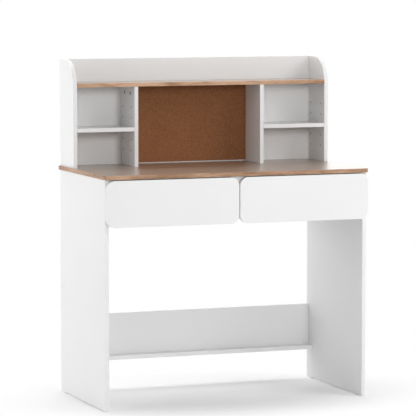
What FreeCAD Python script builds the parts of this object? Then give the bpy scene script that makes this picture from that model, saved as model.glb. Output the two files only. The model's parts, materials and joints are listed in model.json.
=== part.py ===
import FreeCAD, Part
import math
import os
from collections import defaultdict

# A child's writing table of melamine board: two leg panels, a wood-effect desktop, two drawers on
# roller runners and a hutch with cubbies and a cork board.
# Millimetres. +X is right, +Y is back, +Z is up, seen from the seat. The origin is on the floor,
# under the middle of the desktop's outline.

# Boards and sheets
BOARD = 12.0
FRONT_BOARD = 15.0
BACK_BOARD = 9.0
DRAWER_SHEET = 3.0
CORK_SHEET = 4.0
EDGE_BAND = 1.0
BOARD_EASE = 0.6
BAND_EASE = 0.5

# Desktop and leg panels
TOP_WIDTH = 850.0
TOP_DEPTH = 447.0
TOP_HEIGHT = 702.0
TOP_FRONT_CORNER = 22.0
TOP_BACK_CORNER = 4.0
SIDE_OVERHANG = 6.0
GLIDE_HEIGHT = 2.5
GLIDE_LENGTH = 26.0
GLIDE_WIDTH = 9.0
GLIDE_NAIL_RADIUS = 1.2
GLIDE_NAIL_LENGTH = 14.0

# Rails and boards between the leg panels
RAIL_DEPTH = 60.0
APRON_HEIGHT = 128.0
LOWER_SHELF_TOP = 107.0
LOWER_SHELF_DEPTH = 46.0
LOWER_BOARD_HEIGHT = 130.0

# Drawer fronts
FRONT_HEIGHT = 138.5
FRONT_TOP_GAP = 3.0
FRONT_MIDDLE_GAP = 2.2
FRONT_REST_GAP = 1.0
FRONT_CORNER = 26.5
FRONT_ROUND = 1.5

# Drawer boxes
BOX_BACK_ROOM = 70.0
BOX_HEIGHT = 92.0
BOX_RISE = 26.0
BOTTOM_RISE = 10.0
GROOVE_DEPTH = 5.0
SHEET_CLEARANCE = 0.15

# Roller runners
RUNNER_SPACE = 12.5
RUNNER_INSET = 2.0
RUNNER_HOLD = 85.0
RUNNER_FOOT = 10.0
STEEL = 1.2
CHANNEL_REACH = 9.0
TRACK_CLEARANCE = 0.8
LIP_CLEARANCE = 0.5
ROLLER_RADIUS = 8.5
ROLLER_WIDTH = 5.2
ROLLER_STAND_OFF = 3.4
ROLLER_SETBACK = 12.0
ROLLER_EASE = 0.5
ROLLING_CLEARANCE = 0.3
AXLE_RADIUS = 2.0
AXLE_COLLAR_RADIUS = 3.2
AXLE_HEAD = 0.5
AXLE_FIT = 0.05
AXLE_END_PLAY = 0.1
STOP_HEIGHT = 4.0

# Hutch
HUTCH_DEPTH = 135.0
HUTCH_HEIGHT = 327.0
HUTCH_CORNER = 82.0
TOP_SHELF_RISE = 257.0
LEFT_CUBBY = 184.0
RIGHT_CUBBY = 205.0
SMALL_SHELF_RISE = 114.5
SHELF_CLEARANCE = 0.4
CORK_LIFT = 3.5
CORK_CLEARANCE = 0.3

# Shelf pins
PIN_RADIUS = 2.5
PIN_BITE = 8.0
PIN_SHOW = 8.0
PIN_PITCH = 33.0
PIN_ROWS_EACH_WAY = 2
PIN_FRONT_SETBACK = 30.0
PIN_BACK_SETBACK = 108.0

# Cam locks and their bolts
CAM_RADIUS = 6.0
CAM_HEIGHT = 9.2
CAM_SINK = 0.2
CAM_SETBACK = 21.0
CAM_TUNNEL_RADIUS = 3.3
CAM_SLOT_LENGTH = 7.0
CAM_SLOT_WIDTH = 1.4
CAM_SLOT_DEPTH = 1.4
BOLT_THREAD_RADIUS = 2.5
BOLT_THREAD_LENGTH = 8.0
BOLT_SHANK_RADIUS = 2.0
BOLT_HEAD_RADIUS = 2.9
BOLT_HEAD_LENGTH = 3.0

# Dowels and screws
DOWEL_RADIUS = 3.0
DOWEL_IN_FACE = 8.0
DOWEL_IN_END = 16.0
ASSEMBLY_SCREW_RADIUS = 2.5
ASSEMBLY_SCREW_HEAD = 4.5
ASSEMBLY_SCREW_BITE = 30.0
BACK_SCREW_RADIUS = 1.75
BACK_SCREW_HEAD = 3.5
BACK_SCREW_BITE = 20.0
RUNNER_SCREW_RADIUS = 1.6
RUNNER_SCREW_HEAD = 3.0
RUNNER_SCREW_HEAD_HEIGHT = 1.2
RUNNER_SCREW_BITE = 8.0
RUNNER_SCREW_RISE = 5.0
HOLE_CLEARANCE = 0.1
CUT_OVERRUN = 1.0

# Where fasteners lie, as shares of the edge that they line up along
LEG_DOWEL_SHARE = 0.35
LEG_CAM_SHARE = 0.6
LEG_GLIDE_SHARES = (0.1, 0.9)
RAIL_CAM_SHARE = 0.7
RAIL_DOWEL_SHARE = 0.3
APRON_SHARES = (0.3, 0.75)
PARTITION_SHARES = (0.25, 0.75)
LOWER_BOARD_SHARES = (0.25, 0.75)
LOWER_SHELF_CAM_SHARE = 0.3
LOWER_SHELF_DOWEL_SHARE = 0.75
LOWER_SCREW_SHARES = (0.12, 0.5, 0.88)
HUTCH_DOWEL_SHARES = (0.15, 0.85)
HUTCH_LEG_CAM_SHARE = 0.5
HUTCH_CAM_SHARES = (0.3, 0.7)
DIVIDER_SCREW_SHARES = (0.2, 0.75)
DIVIDER_BACK_SHARES = (0.1, 0.9)
SHELF_BACK_SHARES = (0.08, 0.36, 0.64, 0.92)
BOX_CAM_SHARES = (0.42, 0.8)
BOX_BACK_SHARES = (0.45, 0.8)
BOX_BOTTOM_SHARES = (0.15, 0.5, 0.85)
RUNNER_SCREW_SHARES = (0.15, 0.5, 0.85)
CHANNEL_SCREW_SHARES = {"left": (0.1, 0.45, 0.82), "right": (0.16, 0.54, 0.9)}

# Planes that several pieces share
FRONT_Y = -TOP_DEPTH / 2
BACK_Y = TOP_DEPTH / 2
UNDER_TOP = TOP_HEIGHT - BOARD
LEG_OUTER = TOP_WIDTH / 2 - SIDE_OVERHANG
LEG_INNER = LEG_OUTER - BOARD
LEG_MIDDLE = LEG_OUTER - BOARD / 2
LEG_FRONT = FRONT_Y + FRONT_BOARD + FRONT_REST_GAP
APRON_FRONT = BACK_Y - BOARD
APRON_FOOT = UNDER_TOP - APRON_HEIGHT
APRON_MIDDLE = BACK_Y - BOARD / 2
LOWER_SHELF_FOOT = LOWER_SHELF_TOP - BOARD
LOWER_SHELF_FRONT = BACK_Y - LOWER_SHELF_DEPTH
HUTCH_FRONT = BACK_Y - HUTCH_DEPTH
HUTCH_BACK = BACK_Y - BACK_BOARD
TOP_SHELF_FACE = TOP_HEIGHT + TOP_SHELF_RISE
TOP_SHELF_UNDER = TOP_SHELF_FACE - BOARD
TOP_SHELF_MIDDLE = TOP_SHELF_FACE - BOARD / 2
SMALL_SHELF_MIDDLE = TOP_HEIGHT + SMALL_SHELF_RISE
LEFT_DIVIDER = -LEG_INNER + LEFT_CUBBY
RIGHT_DIVIDER = LEG_INNER - RIGHT_CUBBY - BOARD
FRONT_TOP = UNDER_TOP - FRONT_TOP_GAP
FRONT_FOOT = FRONT_TOP - FRONT_HEIGHT
BOX_FRONT = FRONT_Y + FRONT_BOARD
BOX_BACK = APRON_FRONT - BOX_BACK_ROOM
BOX_FOOT = FRONT_FOOT + BOX_RISE
BOX_TOP = BOX_FOOT + BOX_HEIGHT
RUNNER_FRONT = LEG_FRONT + RUNNER_INSET
RUNNER_BACK = BOX_BACK - RUNNER_INSET
DRAWER_TRAVEL = RUNNER_BACK - RUNNER_FRONT - RUNNER_HOLD
ROLLER_HEIGHT = BOX_FOOT + STEEL + ROLLING_CLEARANCE + ROLLER_RADIUS
TRACK_UNDER = ROLLER_HEIGHT + ROLLER_RADIUS + ROLLING_CLEARANCE
TRACK_TOP = TRACK_UNDER + STEEL
CHANNEL_LIP = TRACK_TOP + LIP_CLEARANCE
CHANNEL_TOP = CHANNEL_LIP + STEEL

V = FreeCAD.Vector
RIGHT = V(1, 0, 0)
BACK = V(0, 1, 0)
UP = V(0, 0, 1)

# Boards by node name, the holes to drill in each, and fasteners by node name
boards = {}
holes = defaultdict(list)
groups = defaultdict(list)


def span(start, end, share):
    """The place at a share of the way from start to end."""
    return start + (end - start) * share


def box(x0, x1, y0, y1, z0, z1):
    """A block between two X, two Y and two Z planes, in any order."""
    corner = V(min(x0, x1), min(y0, y1), min(z0, z1))
    return Part.makeBox(abs(x1 - x0), abs(y1 - y0), abs(z1 - z0), corner)


def rod(start, direction, radius, length):
    return Part.makeCylinder(radius, length, start, direction)


def eased(solid, radius=BOARD_EASE):
    """The solid with every edge slightly rounded, as an edge-banded board is."""
    return solid.makeFillet(radius, solid.Edges)


def rounded_plate(corners, radii, thickness):
    """A plate through square corners, each turned with its own radius, thickened along a vector."""
    enters = []
    leaves = []
    turns = []
    for index, corner in enumerate(corners):
        before = (corners[index - 1] - corner).normalize()
        after = (corners[(index + 1) % len(corners)] - corner).normalize()
        enters.append(corner + before * radii[index])
        leaves.append(corner + after * radii[index])
        turns.append(corner + (before + after) * radii[index] * (1 - math.sqrt(1 / 2)))
    edges = []
    for index, radius in enumerate(radii):
        if radius > 0:
            edges.append(Part.Arc(enters[index], turns[index], leaves[index]).toShape())
        edges.append(Part.LineSegment(leaves[index], enters[(index + 1) % len(radii)]).toShape())
    return Part.Face(Part.Wire(edges)).extrude(thickness)


def edges_on(solid, axis, place):
    """The solid's edges that lie in the plane where this axis reads this place."""
    kept = []
    for edge in solid.Edges:
        low = getattr(edge.BoundBox, axis + "Min")
        high = getattr(edge.BoundBox, axis + "Max")
        if abs(low - place) < HOLE_CLEARANCE and abs(high - place) < HOLE_CLEARANCE:
            kept.append(edge)
    return kept


def cam_joint(prefix, holder, taker, point, into, face):
    """A bolt in the taker's face enters the holder's end, where a cam in the holder's face draws it in."""
    across = into.cross(face)
    heart = point + into * CAM_SETBACK
    mouth = heart + face * (BOARD / 2 - CAM_SINK)
    head_start = heart - into * (BOLT_HEAD_LENGTH / 2)

    bolt = rod(point, into * -1, BOLT_THREAD_RADIUS, BOLT_THREAD_LENGTH)
    bolt = bolt.fuse(rod(point, into, BOLT_SHANK_RADIUS, CAM_SETBACK))
    bolt = bolt.fuse(rod(head_start, into, BOLT_HEAD_RADIUS, BOLT_HEAD_LENGTH))
    groups[prefix + "cam_bolts"].append(bolt.removeSplitter())

    cam = rod(mouth, face * -1, CAM_RADIUS, CAM_HEIGHT)
    tunnel_length = CAM_RADIUS + BOLT_HEAD_LENGTH
    cam = cam.cut(rod(heart - into * CAM_RADIUS, into, CAM_TUNNEL_RADIUS, tunnel_length))
    for along, aside in ((into, across), (across, into)):
        reach = along * (CAM_SLOT_LENGTH / 2) + aside * (CAM_SLOT_WIDTH / 2) + face * CAM_SLOT_DEPTH
        near = mouth - reach
        far = mouth + reach
        cam = cam.cut(box(near.x, far.x, near.y, far.y, near.z, far.z))
    groups[prefix + "cam_locks"].append(cam)

    pocket_depth = CAM_SINK + CAM_HEIGHT + HOLE_CLEARANCE
    surface = heart + face * (BOARD / 2 + CUT_OVERRUN)
    bore_radius = BOLT_HEAD_RADIUS + HOLE_CLEARANCE
    thread_hole = BOLT_THREAD_RADIUS + HOLE_CLEARANCE
    thread_depth = BOLT_THREAD_LENGTH + HOLE_CLEARANCE + CUT_OVERRUN
    holes[holder].append(rod(surface, face * -1, CAM_RADIUS + HOLE_CLEARANCE, pocket_depth + CUT_OVERRUN))
    holes[holder].append(rod(point - into * CUT_OVERRUN, into, bore_radius, CAM_SETBACK + CUT_OVERRUN))
    holes[taker].append(rod(point + into * CUT_OVERRUN, into * -1, thread_hole, thread_depth))


def dowel(holder, taker, point, into):
    """A wood dowel set in the taker's face that lines up the holder's end."""
    start = point - into * DOWEL_IN_FACE
    groups["wood_dowels"].append(rod(start, into, DOWEL_RADIUS, DOWEL_IN_FACE + DOWEL_IN_END))
    radius = DOWEL_RADIUS + HOLE_CLEARANCE
    over = CUT_OVERRUN + HOLE_CLEARANCE
    holes[taker].append(rod(point + into * CUT_OVERRUN, into * -1, radius, DOWEL_IN_FACE + over))
    holes[holder].append(rod(point - into * CUT_OVERRUN, into, radius, DOWEL_IN_END + over))


def countersunk(point, direction, radius, head, length):
    """A screw whose cone head starts flush at the point."""
    cone = Part.makeCone(head, radius, head - radius, point, direction)
    return cone.fuse(rod(point, direction, radius, length)).removeSplitter()


def sunk_screw(group, through, taker, point, direction, radius, head, length):
    """A countersunk screw through one board into the next."""
    groups[group].append(countersunk(point, direction, radius, head, length))
    wide = HOLE_CLEARANCE
    hole = countersunk(point, direction, radius + wide, head + wide, length + wide)
    holes[through].append(hole)
    holes[taker].append(hole)


def pan_screw(group, sheet, taker, point, direction, sheet_thickness):
    """A pan-head screw that clamps a thin sheet, whose outer face is at the point, to a board."""
    head = rod(point, direction * -1, RUNNER_SCREW_HEAD, RUNNER_SCREW_HEAD_HEIGHT)
    length = sheet_thickness + RUNNER_SCREW_BITE
    shank = rod(point, direction, RUNNER_SCREW_RADIUS, length)
    groups[group].append(head.fuse(shank).removeSplitter())
    start = point - direction * CUT_OVERRUN
    over = CUT_OVERRUN + HOLE_CLEARANCE
    hole = rod(start, direction, RUNNER_SCREW_RADIUS + HOLE_CLEARANCE, length + over)
    holes[sheet].append(hole)
    holes[taker].append(hole)


# Leg panels: full-depth boards on plastic glides
for name, outer, inward in (("left", -LEG_OUTER, RIGHT), ("right", LEG_OUTER, RIGHT * -1)):
    leg = name + "_leg_panel"
    inner = outer + inward.x * BOARD
    middle = outer + inward.x * BOARD / 2
    boards[leg] = eased(box(outer, inner, LEG_FRONT, BACK_Y, GLIDE_HEIGHT, UNDER_TOP))
    front_cam_y = span(LEG_FRONT, HUTCH_FRONT, LEG_CAM_SHARE)
    back_cam_y = span(HUTCH_FRONT, BACK_Y, HUTCH_LEG_CAM_SHARE)
    for y in (front_cam_y, back_cam_y):
        cam_joint("", leg, "desktop", V(middle, y, UNDER_TOP), UP * -1, inward)
    dowel_y = span(LEG_FRONT, HUTCH_FRONT, LEG_DOWEL_SHARE)
    dowel(leg, "desktop", V(middle, dowel_y, UNDER_TOP), UP * -1)
    for share in LEG_GLIDE_SHARES:
        y = span(LEG_FRONT, BACK_Y, share)
        half_length = GLIDE_LENGTH / 2
        half_width = GLIDE_WIDTH / 2
        corners = (
            V(middle - half_width, y - half_length, 0),
            V(middle + half_width, y - half_length, 0),
            V(middle + half_width, y + half_length, 0),
            V(middle - half_width, y + half_length, 0),
        )
        pad = rounded_plate(corners, [GLIDE_WIDTH / 3] * len(corners), UP * GLIDE_HEIGHT)
        nail_height = GLIDE_HEIGHT + GLIDE_NAIL_LENGTH
        nail = rod(V(middle, y, 0), UP, GLIDE_NAIL_RADIUS, nail_height)
        groups["foot_glides"].append(pad.fuse(nail).removeSplitter())
        hole_radius = GLIDE_NAIL_RADIUS + HOLE_CLEARANCE
        holes[leg].append(rod(V(middle, y, 0), UP, hole_radius, nail_height + HOLE_CLEARANCE))

# Desktop: a wood-effect board with rounded front corners, and the band round its edge
corner_signs = ((-1, -1), (1, -1), (1, 1), (-1, 1))
rim_corners = [V(x * TOP_WIDTH / 2, y * TOP_DEPTH / 2, UNDER_TOP) for x, y in corner_signs]
rim_radii = (TOP_FRONT_CORNER, TOP_FRONT_CORNER, TOP_BACK_CORNER, TOP_BACK_CORNER)
core_half_width = TOP_WIDTH / 2 - EDGE_BAND
core_half_depth = TOP_DEPTH / 2 - EDGE_BAND
core_corners = [V(x * core_half_width, y * core_half_depth, UNDER_TOP) for x, y in corner_signs]
core_radii = [radius - EDGE_BAND for radius in rim_radii]
boards["desktop"] = rounded_plate(core_corners, core_radii, UP * BOARD)
rim = rounded_plate(rim_corners, rim_radii, UP * BOARD)
boards["desktop_edge_band"] = eased(rim, BAND_EASE).cut(boards["desktop"])

# Front rail: a flat board under the front of the desktop
boards["front_rail"] = box(
    -LEG_INNER, LEG_INNER, LEG_FRONT, LEG_FRONT + RAIL_DEPTH, UNDER_TOP - BOARD, UNDER_TOP)
for name, side in (("left", -1), ("right", 1)):
    into = RIGHT * -side
    rail_height = UNDER_TOP - BOARD / 2
    cam_y = span(LEG_FRONT, LEG_FRONT + RAIL_DEPTH, RAIL_CAM_SHARE)
    dowel_y = span(LEG_FRONT, LEG_FRONT + RAIL_DEPTH, RAIL_DOWEL_SHARE)
    cam_joint("", "front_rail", name + "_leg_panel", V(side * LEG_INNER, cam_y, rail_height), into, UP * -1)
    dowel("front_rail", name + "_leg_panel", V(side * LEG_INNER, dowel_y, rail_height), into)

# Rear apron: an upright board behind the drawers
boards["rear_apron"] = box(-LEG_INNER, LEG_INNER, APRON_FRONT, BACK_Y, APRON_FOOT, UNDER_TOP)
for name, side in (("left", -1), ("right", 1)):
    for share in APRON_SHARES:
        end = V(side * LEG_INNER, APRON_MIDDLE, span(APRON_FOOT, UNDER_TOP, share))
        cam_joint("", "rear_apron", name + "_leg_panel", end, RIGHT * -side, BACK)

# Centre partition: hangs from the desktop between the drawers, notched round the front rail
partition = box(-BOARD / 2, BOARD / 2, LEG_FRONT, APRON_FRONT, APRON_FOOT, UNDER_TOP)
boards["centre_partition"] = partition.cut(boards["front_rail"])
for share in PARTITION_SHARES:
    top_edge = V(0, span(LEG_FRONT, APRON_FRONT, share), UNDER_TOP)
    cam_joint("", "centre_partition", "desktop", top_edge, UP * -1, RIGHT * -1)
for share in APRON_SHARES:
    head = V(0, BACK_Y, span(APRON_FOOT, UNDER_TOP, share))
    sunk_screw("assembly_screws", "rear_apron", "centre_partition", head, BACK * -1,
               ASSEMBLY_SCREW_RADIUS, ASSEMBLY_SCREW_HEAD, BOARD + ASSEMBLY_SCREW_BITE)

# Lower shelf and the upright board that stands on its back edge
boards["lower_shelf"] = eased(
    box(-LEG_INNER, LEG_INNER, LOWER_SHELF_FRONT, BACK_Y, LOWER_SHELF_FOOT, LOWER_SHELF_TOP))
lower_board_top = LOWER_SHELF_TOP + LOWER_BOARD_HEIGHT
boards["lower_back_board"] = eased(
    box(-LEG_INNER, LEG_INNER, APRON_FRONT, BACK_Y, LOWER_SHELF_TOP, lower_board_top))
for name, side in (("left", -1), ("right", 1)):
    leg = name + "_leg_panel"
    into = RIGHT * -side
    shelf_middle = LOWER_SHELF_TOP - BOARD / 2
    cam_y = span(LOWER_SHELF_FRONT, BACK_Y, LOWER_SHELF_CAM_SHARE)
    dowel_y = span(LOWER_SHELF_FRONT, BACK_Y, LOWER_SHELF_DOWEL_SHARE)
    cam_joint("", "lower_shelf", leg, V(side * LEG_INNER, cam_y, shelf_middle), into, UP * -1)
    dowel("lower_shelf", leg, V(side * LEG_INNER, dowel_y, shelf_middle), into)
    for share in LOWER_BOARD_SHARES:
        end = V(side * LEG_INNER, APRON_MIDDLE, span(LOWER_SHELF_TOP, lower_board_top, share))
        cam_joint("", "lower_back_board", leg, end, into, BACK)
for share in LOWER_SCREW_SHARES:
    head = V(span(-LEG_INNER, LEG_INNER, share), APRON_MIDDLE, LOWER_SHELF_FOOT)
    sunk_screw("assembly_screws", "lower_shelf", "lower_back_board", head, UP,
               ASSEMBLY_SCREW_RADIUS, ASSEMBLY_SCREW_HEAD, BOARD + ASSEMBLY_SCREW_BITE)

# Hutch sides: quarter-round at the top front corner, dowelled to the desktop
hutch_top = TOP_HEIGHT + HUTCH_HEIGHT
for name, side in (("left", -1), ("right", 1)):
    hutch_side = "hutch_" + name + "_side"
    low_x = min(side * LEG_OUTER, side * LEG_INNER)
    corners = (
        V(low_x, HUTCH_FRONT, TOP_HEIGHT),
        V(low_x, BACK_Y, TOP_HEIGHT),
        V(low_x, BACK_Y, hutch_top),
        V(low_x, HUTCH_FRONT, hutch_top),
    )
    boards[hutch_side] = eased(rounded_plate(corners, (0, 0, 0, HUTCH_CORNER), RIGHT * BOARD))
    for share in HUTCH_DOWEL_SHARES:
        foot = V(side * LEG_MIDDLE, span(HUTCH_FRONT, BACK_Y, share), TOP_HEIGHT)
        dowel(hutch_side, "desktop", foot, UP)

# Top shelf between the hutch sides, with a wood-effect band on its front edge
band_back = HUTCH_FRONT + EDGE_BAND
boards["hutch_top_shelf"] = box(
    -LEG_INNER, LEG_INNER, band_back, HUTCH_BACK, TOP_SHELF_UNDER, TOP_SHELF_FACE)
band = box(-LEG_INNER, LEG_INNER, HUTCH_FRONT, band_back, TOP_SHELF_UNDER, TOP_SHELF_FACE)
boards["top_shelf_edge_band"] = band.makeFillet(BAND_EASE, [
    edge for edge in edges_on(band, "Y", HUTCH_FRONT) if edge.BoundBox.XLength > BOARD])
for name, side in (("left", -1), ("right", 1)):
    for share in HUTCH_CAM_SHARES:
        end = V(side * LEG_INNER, span(HUTCH_FRONT, BACK_Y, share), TOP_SHELF_MIDDLE)
        cam_joint("", "hutch_top_shelf", "hutch_" + name + "_side", end, RIGHT * -side, UP * -1)

# Hutch dividers: cammed to the top shelf on their cubby face, screwed from under the desktop
for name, low_x, cubby_face in (("left", LEFT_DIVIDER, RIGHT * -1), ("right", RIGHT_DIVIDER, RIGHT)):
    divider = "hutch_" + name + "_divider"
    middle = low_x + BOARD / 2
    boards[divider] = eased(box(low_x, low_x + BOARD, HUTCH_FRONT, HUTCH_BACK, TOP_HEIGHT, TOP_SHELF_UNDER))
    for share in HUTCH_CAM_SHARES:
        top_edge = V(middle, span(HUTCH_FRONT, BACK_Y, share), TOP_SHELF_UNDER)
        cam_joint("", divider, "hutch_top_shelf", top_edge, UP * -1, cubby_face)
    for share in DIVIDER_SCREW_SHARES:
        head = V(middle, span(HUTCH_FRONT, HUTCH_BACK, share), UNDER_TOP)
        sunk_screw("assembly_screws", "desktop", divider, head, UP,
                   ASSEMBLY_SCREW_RADIUS, ASSEMBLY_SCREW_HEAD, BOARD + ASSEMBLY_SCREW_BITE)

# Back board of the hutch, which rises above the top shelf as a gallery, screwed on from behind
boards["hutch_back_board"] = eased(box(-LEG_INNER, LEG_INNER, HUTCH_BACK, BACK_Y, TOP_HEIGHT, hutch_top))
back_screw_length = BACK_BOARD + BACK_SCREW_BITE
for name, low_x in (("left", LEFT_DIVIDER), ("right", RIGHT_DIVIDER)):
    heights = [span(TOP_HEIGHT, TOP_SHELF_UNDER, share) for share in DIVIDER_BACK_SHARES]
    for z in heights + [SMALL_SHELF_MIDDLE + PIN_PITCH / 2]:
        sunk_screw("back_board_screws", "hutch_back_board", "hutch_" + name + "_divider",
                   V(low_x + BOARD / 2, BACK_Y, z), BACK * -1,
                   BACK_SCREW_RADIUS, BACK_SCREW_HEAD, back_screw_length)
for share in SHELF_BACK_SHARES:
    sunk_screw("back_board_screws", "hutch_back_board", "hutch_top_shelf",
               V(span(-LEG_INNER, LEG_INNER, share), BACK_Y, TOP_SHELF_MIDDLE), BACK * -1,
               BACK_SCREW_RADIUS, BACK_SCREW_HEAD, back_screw_length)

# Cork board glued to the back board in the middle bay
boards["cork_board"] = box(
    LEFT_DIVIDER + BOARD + CORK_CLEARANCE, RIGHT_DIVIDER - CORK_CLEARANCE,
    HUTCH_BACK - CORK_SHEET, HUTCH_BACK,
    TOP_HEIGHT + CORK_LIFT, TOP_SHELF_UNDER - CORK_CLEARANCE)

# Small loose shelves, notched underneath to sit over their four pins, and the rows of pin holes
pin_columns = (HUTCH_FRONT + PIN_FRONT_SETBACK, HUTCH_FRONT + PIN_BACK_SETBACK)
cubbies = (
    ("left", -LEG_INNER, "hutch_left_side", LEFT_DIVIDER, "hutch_left_divider"),
    ("right", RIGHT_DIVIDER + BOARD, "hutch_right_divider", LEG_INNER, "hutch_right_side"),
)
for name, low_x, low_board, high_x, high_board in cubbies:
    shelf = name + "_small_shelf"
    boards[shelf] = eased(box(
        low_x + SHELF_CLEARANCE, high_x - SHELF_CLEARANCE, HUTCH_FRONT, HUTCH_BACK - SHELF_CLEARANCE,
        SMALL_SHELF_MIDDLE - BOARD / 2, SMALL_SHELF_MIDDLE + BOARD / 2))
    for wall_x, wall_board, inward in ((low_x, low_board, RIGHT), (high_x, high_board, RIGHT * -1)):
        hole_radius = PIN_RADIUS + HOLE_CLEARANCE
        for y in pin_columns:
            for row in range(-PIN_ROWS_EACH_WAY, PIN_ROWS_EACH_WAY + 1):
                place = V(wall_x, y, SMALL_SHELF_MIDDLE + row * PIN_PITCH)
                holes[wall_board].append(
                    rod(place + inward * CUT_OVERRUN, inward * -1, hole_radius, PIN_BITE + CUT_OVERRUN))
            root = V(wall_x, y, SMALL_SHELF_MIDDLE) - inward * (PIN_BITE - HOLE_CLEARANCE)
            groups["shelf_pins"].append(rod(root, inward, PIN_RADIUS, PIN_BITE + PIN_SHOW))
            seat_length = PIN_SHOW + CUT_OVERRUN
            seat = rod(V(wall_x, y, SMALL_SHELF_MIDDLE), inward, hole_radius, seat_length)
            slot = box(wall_x, wall_x + inward.x * seat_length, y - hole_radius, y + hole_radius,
                       SMALL_SHELF_MIDDLE - BOARD, SMALL_SHELF_MIDDLE)
            holes[shelf] += [seat, slot]

# Drawers: a thick front, two sides, a back and a thin bottom in grooves, on roller runners
drawers = (
    ("left_drawer_", -LEG_OUTER, -FRONT_MIDDLE_GAP / 2, "left_leg_panel", -LEG_INNER,
     "centre_partition", -BOARD / 2),
    ("right_drawer_", FRONT_MIDDLE_GAP / 2, LEG_OUTER, "centre_partition", BOARD / 2,
     "right_leg_panel", LEG_INNER),
)
for drawer, front_low, front_high, low_wall_board, low_wall, high_wall_board, high_wall in drawers:
    corners = (
        V(front_low, FRONT_Y, FRONT_FOOT),
        V(front_high, FRONT_Y, FRONT_FOOT),
        V(front_high, FRONT_Y, FRONT_TOP),
        V(front_low, FRONT_Y, FRONT_TOP),
    )
    face = rounded_plate(corners, [FRONT_CORNER] * len(corners), BACK * FRONT_BOARD)
    face = face.makeFillet(FRONT_ROUND, edges_on(face, "Y", FRONT_Y))
    boards[drawer + "front"] = face.makeFillet(BOARD_EASE, edges_on(face, "Y", BOX_FRONT))

    box_low = low_wall + RUNNER_SPACE
    box_high = high_wall - RUNNER_SPACE
    inside_low = box_low + BOARD
    inside_high = box_high - BOARD
    sheet_foot = BOX_FOOT + BOTTOM_RISE
    groove_foot = sheet_foot - SHEET_CLEARANCE
    groove_top = sheet_foot + DRAWER_SHEET + SHEET_CLEARANCE
    groove = box(inside_low - GROOVE_DEPTH, inside_high + GROOVE_DEPTH,
                 BOX_FRONT - GROOVE_DEPTH, BOX_BACK + CUT_OVERRUN, groove_foot, groove_top)
    boards[drawer + "left_side"] = eased(box(box_low, inside_low, BOX_FRONT, BOX_BACK, BOX_FOOT, BOX_TOP))
    boards[drawer + "right_side"] = eased(box(inside_high, box_high, BOX_FRONT, BOX_BACK, BOX_FOOT, BOX_TOP))
    boards[drawer + "back"] = box(inside_low, inside_high, BOX_BACK - BOARD, BOX_BACK, groove_top, BOX_TOP)
    for piece in ("front", "left_side", "right_side"):
        holes[drawer + piece].append(groove)
    boards[drawer + "bottom"] = box(
        inside_low - GROOVE_DEPTH + SHEET_CLEARANCE, inside_high + GROOVE_DEPTH - SHEET_CLEARANCE,
        BOX_FRONT - GROOVE_DEPTH + SHEET_CLEARANCE, BOX_BACK, sheet_foot, sheet_foot + DRAWER_SHEET)
    back_middle = BOX_BACK - BOARD / 2
    for share in BOX_BOTTOM_SHARES:
        head = V(span(inside_low, inside_high, share), back_middle, sheet_foot)
        clamped = DRAWER_SHEET + SHEET_CLEARANCE
        pan_screw(drawer + "screws", drawer + "bottom", drawer + "back", head, UP, clamped)

    walls = (
        ("left", low_wall, low_wall_board, RIGHT, box_low, inside_low),
        ("right", high_wall, high_wall_board, RIGHT * -1, box_high, inside_high),
    )
    for name, wall, wall_board, inward, box_face, inside_face in walls:
        box_side = drawer + name + "_side"
        side_middle = (box_face + inside_face) / 2
        for share in BOX_CAM_SHARES:
            end = V(side_middle, BOX_FRONT, span(BOX_FOOT, BOX_TOP, share))
            cam_joint(drawer, box_side, drawer + "front", end, BACK, inward)
        for share in BOX_BACK_SHARES:
            head = V(box_face, back_middle, span(BOX_FOOT, BOX_TOP, share))
            sunk_screw(drawer + "screws", box_side, drawer + "back", head, inward,
                       BACK_SCREW_RADIUS, BACK_SCREW_HEAD, BOARD + BACK_SCREW_BITE)

        # Fixed channel: a C profile on the wall with a stop, and the axle of its front roller
        channel = drawer + name + "_channel"
        lip_x = wall + inward.x * CHANNEL_REACH
        profile = box(wall, wall + inward.x * STEEL, RUNNER_FRONT, RUNNER_BACK, BOX_FOOT, CHANNEL_TOP)
        profile = profile.fuse(box(wall, lip_x, RUNNER_FRONT, RUNNER_BACK, BOX_FOOT, BOX_FOOT + STEEL))
        profile = profile.fuse(box(wall, lip_x, RUNNER_FRONT, RUNNER_BACK, CHANNEL_LIP, CHANNEL_TOP))
        back_roller_y = RUNNER_BACK - ROLLER_SETBACK
        stop_rise = ROLLER_RADIUS - (STOP_HEIGHT - ROLLING_CLEARANCE)
        stop_reach = math.sqrt(ROLLER_RADIUS ** 2 - stop_rise ** 2) + ROLLING_CLEARANCE
        stop_y = back_roller_y - DRAWER_TRAVEL - stop_reach
        stop_top = BOX_FOOT + STEEL + STOP_HEIGHT
        profile = profile.fuse(box(wall, lip_x, stop_y - STEEL, stop_y, BOX_FOOT, stop_top))

        roller_near = ROLLER_STAND_OFF
        roller_far = ROLLER_STAND_OFF + ROLLER_WIDTH
        near_head = roller_near - AXLE_END_PLAY
        far_head = roller_far + AXLE_END_PLAY
        front_axis = V(wall, RUNNER_FRONT + ROLLER_SETBACK, ROLLER_HEIGHT)
        profile = profile.fuse(rod(front_axis, inward, AXLE_COLLAR_RADIUS, near_head))
        profile = profile.fuse(rod(front_axis, inward, AXLE_RADIUS, far_head))
        profile = profile.fuse(rod(front_axis + inward * far_head, inward, AXLE_COLLAR_RADIUS, AXLE_HEAD))
        boards[channel] = profile.removeSplitter()
        for share in CHANNEL_SCREW_SHARES[name]:
            y = span(RUNNER_FRONT, RUNNER_BACK, share)
            head = V(wall + inward.x * STEEL, y, ROLLER_HEIGHT)
            pan_screw("channel_screws", channel, wall_board, head, inward * -1, STEEL)

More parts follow.
